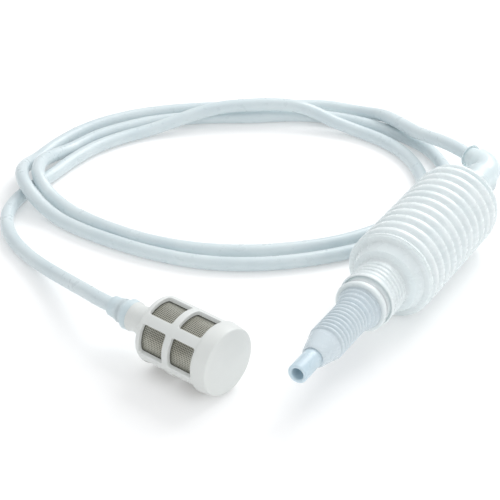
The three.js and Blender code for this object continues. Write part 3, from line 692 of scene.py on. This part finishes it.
def nipple():
    obj = turned("strainer_neck", rounded([
        (-24.5, 3.4, 0.2), (-24.5, 4.8, 0.3), (-22.5, 5.4, 0.5), (-16.6, 5.4, 0.2), (-16.6, 7.6, 0.5),
        (-13.5, 8.2, 2.0), (-3.4, 8.8, 0.5), (-2.9, 8.0, 0.4), (-2.0, 8.0, 0.4), (-1.5, 8.9, 0.5),
        (-0.3, 8.9, 0.2), (-0.3, 5.4, 0.2), (4.0, 5.4, 0.4), (4.0, 3.4, 0.2),
    ]), STRAINER_LINE, sides=64)
    dress(obj, plastic("strainer_plastic"), "pump_rear")
    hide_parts("strainer_nipple")
    return obj


def cage_cell(rear, start, end, front):
    """A window's outline as (distance, angle) points, each with its match on its cell's border."""
    half_cell = math.pi / CAGE_RIB_COUNT
    half_window = half_cell - (CAGE_RIB_WIDTH / 2 + WINDOW_CORNER) / CAGE_RADIUS
    corner_steps, side_steps, end_steps = 4, 8, 12
    corners = []
    for along, around, first in ((1, 1, 0), (-1, 1, 90), (-1, -1, 180), (1, -1, 270)):
        edge_x, border_x = (end, front) if along > 0 else (start, rear)
        centre_x = edge_x - along * WINDOW_CORNER
        turned_to, border_turn = around * half_window, around * half_cell
        borders = [
            (border_x, turned_to), (border_x, (turned_to + border_turn) / 2), (border_x, border_turn),
            ((border_x + centre_x) / 2, border_turn), (centre_x, border_turn),
        ]
        if along != around:
            borders.reverse()
        corner = []
        for step, border in enumerate(borders):
            turn = math.radians(first + 90 * step / corner_steps)
            x = centre_x + WINDOW_CORNER * math.cos(turn)
            angle = turned_to + WINDOW_CORNER * math.sin(turn) / CAGE_RADIUS
            corner.append(((x, angle), border))
        corners.append(corner)
    pairs = []
    for i, corner in enumerate(corners):
        pairs += corner
        (x0, a0), (bx0, ba0) = corner[-1]
        (x1, a1), (bx1, ba1) = corners[(i + 1) % 4][0]
        steps = side_steps if i % 2 == 0 else end_steps
        for step in range(1, steps):
            share = step / steps
            on_edge = (x0 + (x1 - x0) * share, a0 + (a1 - a0) * share)
            pairs.append((on_edge, (bx0 + (bx1 - bx0) * share, ba0 + (ba1 - ba0) * share)))
    return pairs


def cage():
    """The windowed tube, laid out cell by cell round each window, and its two solid ends."""
    inside = CAGE_RADIUS - CAGE_WALL
    side = Vector((0, 0, 1)).cross(STRAINER_AXIS)
    rear, front = CAGE_BACK_RING - 0.7, CAGE_LENGTH - 0.4
    middle = sum(CAGE_MIDDLE_RING) / 2
    cells = (
        cage_cell(rear, CAGE_BACK_RING, CAGE_MIDDLE_RING[0], middle),
        cage_cell(middle, CAGE_MIDDLE_RING[1], CAGE_LENGTH - CAGE_END_RING, front),
    )
    turns = [CAGE_RIB_TURN + (i + 0.5) * 2 * math.pi / CAGE_RIB_COUNT for i in range(CAGE_RIB_COUNT)]
    vertices, faces = [], []

    def skin(rings):
        """Faces between closed rings of (distance, radius, angle) points."""
        count = len(rings[0])
        first = len(vertices)
        for ring in rings:
            for x, radius, angle in ring:
                spoke = math.cos(angle) * Vector((0, 0, 1)) - math.sin(angle) * side
                vertices.append(STRAINER_LINE(x)[0] + radius * MM * spoke)
        for a in range(first, first + (len(rings) - 1) * count, count):
            for k in range(count):
                n = (k + 1) % count
                faces.append([a + k, a + n, a + count + n, a + count + k])

    round_steps = ((1, 0), (0.4, 0.1), (0.1, 0.4), (0, 1))  # shares of the edge's rounding, out and in
    for pairs in cells:
        for turn in turns:
            rings = [[(bx, CAGE_RADIUS, turn + ba) for _, (bx, ba) in pairs]]
            for out_share, in_share in round_steps:
                ring = []
                for (x, angle), (bx, ba) in pairs:
                    away = Vector((bx - x, (ba - angle) * CAGE_RADIUS)).normalized()
                    away = away * WINDOW_ROUND * out_share
                    depth = CAGE_RADIUS - WINDOW_ROUND * in_share
                    ring.append((x + away.x, depth, turn + angle + away.y / CAGE_RADIUS))
                rings.append(ring)
            rings.append([(x, inside, turn + angle) for (x, angle), _ in pairs])
            rings.append([(bx, inside, turn + ba) for _, (bx, ba) in pairs])
            skin(rings)
    back_wall = [
        (1.3, CAGE_RADIUS), (0.38, CAGE_RADIUS - 0.38), (0, CAGE_RADIUS - 1.3),
        (0, 5.7), (2, 5.7), (2, inside),
    ]
    open_end = [(CAGE_LENGTH - 0.2, CAGE_RADIUS), (CAGE_LENGTH, CAGE_RADIUS - 0.2), (CAGE_LENGTH, inside)]
    for pairs, border, outline in ((cells[0], rear, back_wall), (cells[1], front, open_end)):
        across = sorted({ba for _, (bx, ba) in pairs if abs(bx - border) < 1e-9})[:-1]
        angles = [turn + angle for turn in turns for angle in across]
        profile = [(border, CAGE_RADIUS), *outline, (border, inside)]
        skin([[(x, radius, angle) for angle in angles] for x, radius in profile])
    obj = piece("window_cage", vertices, faces, sharp=math.radians(50))
    dress(obj, plastic("strainer_plastic"), "pump_rear")
    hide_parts("strainer_cage")
    return obj


def wire_sleeve():
    """The woven sleeve, with a map that counts wires round it and along it."""
    outer = CAGE_RADIUS - CAGE_WALL - 0.3
    inner = outer - 0.5
    start, end = CAGE_BACK_RING - 0.5, CAGE_LENGTH - 0.4
    rows = 24
    outline = [(start + (end - start) * i / rows, outer) for i in range(rows + 1)]
    outline += [(end - (end - start) * i / rows, inner) for i in range(rows + 1)]
    obj = turned("wire_sleeve", outline, STRAINER_LINE, sides=144)
    wires_round = round(2 * math.pi * outer * MM / MESH_PITCH / 2) * 2
    layer = obj.data.uv_layers.new(name="UVMap")
    side = Vector((0, 0, 1)).cross(STRAINER_AXIS)
    for face in obj.data.polygons:
        places = []
        for loop in face.loop_indices:
            away = obj.data.vertices[obj.data.loops[loop].vertex_index].co - STRAINER_BACK
            turn = math.atan2(away.dot(side), away.z) / (2 * math.pi)
            places.append((loop, turn, away.dot(STRAINER_AXIS) / MESH_PITCH))
        first = places[0][1]
        for loop, turn, along in places:
            near = turn + round(first - turn)
            layer.data[loop].uv = (near * wires_round, along)
    dress(obj, woven_steel(), "pump_rear")
    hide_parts("strainer_mesh")
    return obj


def end_cap():
    front = STRAINER_LENGTH / MM
    rear = CAGE_LENGTH + 0.3
    plug_end = CAGE_LENGTH - 5.5
    obj = turned("end_cap", rounded([
        (front - 2, 0), (front - 2, 13.0, 0.5), (plug_end, 13.0, 0.3), (plug_end, 14.9, 0.4),
        (rear, 14.9, 0.2), (rear, 18.7, 0.5), (front, 19.3, 2.0), (front, 14), (front, 9),
        (front, 4), (front, 0),
    ], closed=False), STRAINER_LINE, sides=144, closed=False)
    dress(obj, plastic("strainer_plastic"), "cap")
    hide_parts("strainer_cap")
    return obj


# ---- floor and light ----

def floor():
    mesh = bpy.data.meshes.new("floor")
    half = 4.0
    corners = [(-half, -half, 0), (half, -half, 0), (half, half, 0), (-half, half, 0)]
    mesh.from_pydata(corners, [], [[0, 1, 2, 3]])
    obj = bpy.data.objects.new("floor", mesh)
    bpy.context.scene.collection.objects.link(obj)
    material, tree, shader = new_material("pale_floor", Roughness=0.9, Emission_Strength=0.22)
    shader.inputs["Specular IOR Level"].default_value = 0.1
    shader.inputs["Emission Color"].default_value = (1, 1, 1, 1)
    grain = ramp(tree, noise(tree, 30, detail=2), [(0.3, (0.8, 0.8, 0.8)), (0.7, (0.81, 0.81, 0.81))])
    tree.links.new(grain, shader.inputs["Base Color"])
    mesh.materials.append(material)


def soft_light(name, place, aim, side, power):
    data = bpy.data.lights.new(name, "AREA")
    data.shape = "SQUARE"
    data.size = side
    data.energy = power
    obj = bpy.data.objects.new(name, data)
    obj.location = place
    obj.rotation_euler = (Vector(aim) - Vector(place)).to_track_quat("-Z", "Y").to_euler()
    bpy.context.scene.collection.objects.link(obj)


def lights():
    """A soft studio: a sky that is brighter overhead, a broad key light from behind and a weak fill."""
    world = bpy.data.worlds.new("studio")
    world.use_nodes = True
    tree = world.node_tree
    coordinates = tree.nodes.new("ShaderNodeTexCoord")
    separate = tree.nodes.new("ShaderNodeSeparateXYZ")
    tree.links.new(coordinates.outputs["Generated"], separate.inputs["Vector"])
    sky = ramp(tree, separate.outputs["Z"], [(0.0, (0.46, 0.47, 0.48)), (1.0, (0.94, 0.95, 0.96))])
    tree.links.new(sky, tree.nodes["Background"].inputs["Color"])
    bpy.context.scene.world = world
    middle = (0, -0.1, 0)
    soft_light("from_behind", (-0.95, -0.01, 0.9), middle, 0.8, 9)
    soft_light("from_the_right", (0.6, 1.0, 0.7), middle, 0.6, 2)
    bpy.context.scene.view_settings.view_transform = "Standard"


# ---- assembly ----

photo_camera()
hose_tube, hose_line, hose_exit = hose()
on_the_hose = [strainer_adapter(), nipple(), cage(), wire_sleeve(), end_cap()]
ribbed_bulb()
collar_ring()
gasket_ring()
corrugated_spout()
nozzle_tube()
check_valve("inlet", -82, 7.4, 3.4, 2.5, "pump_rear", "inlet_ball")
check_valve("outlet", 51, 11.2, 4.5, 3.4, "pump_front", "outlet_ball")
bent_inlet()
floor()
lights()
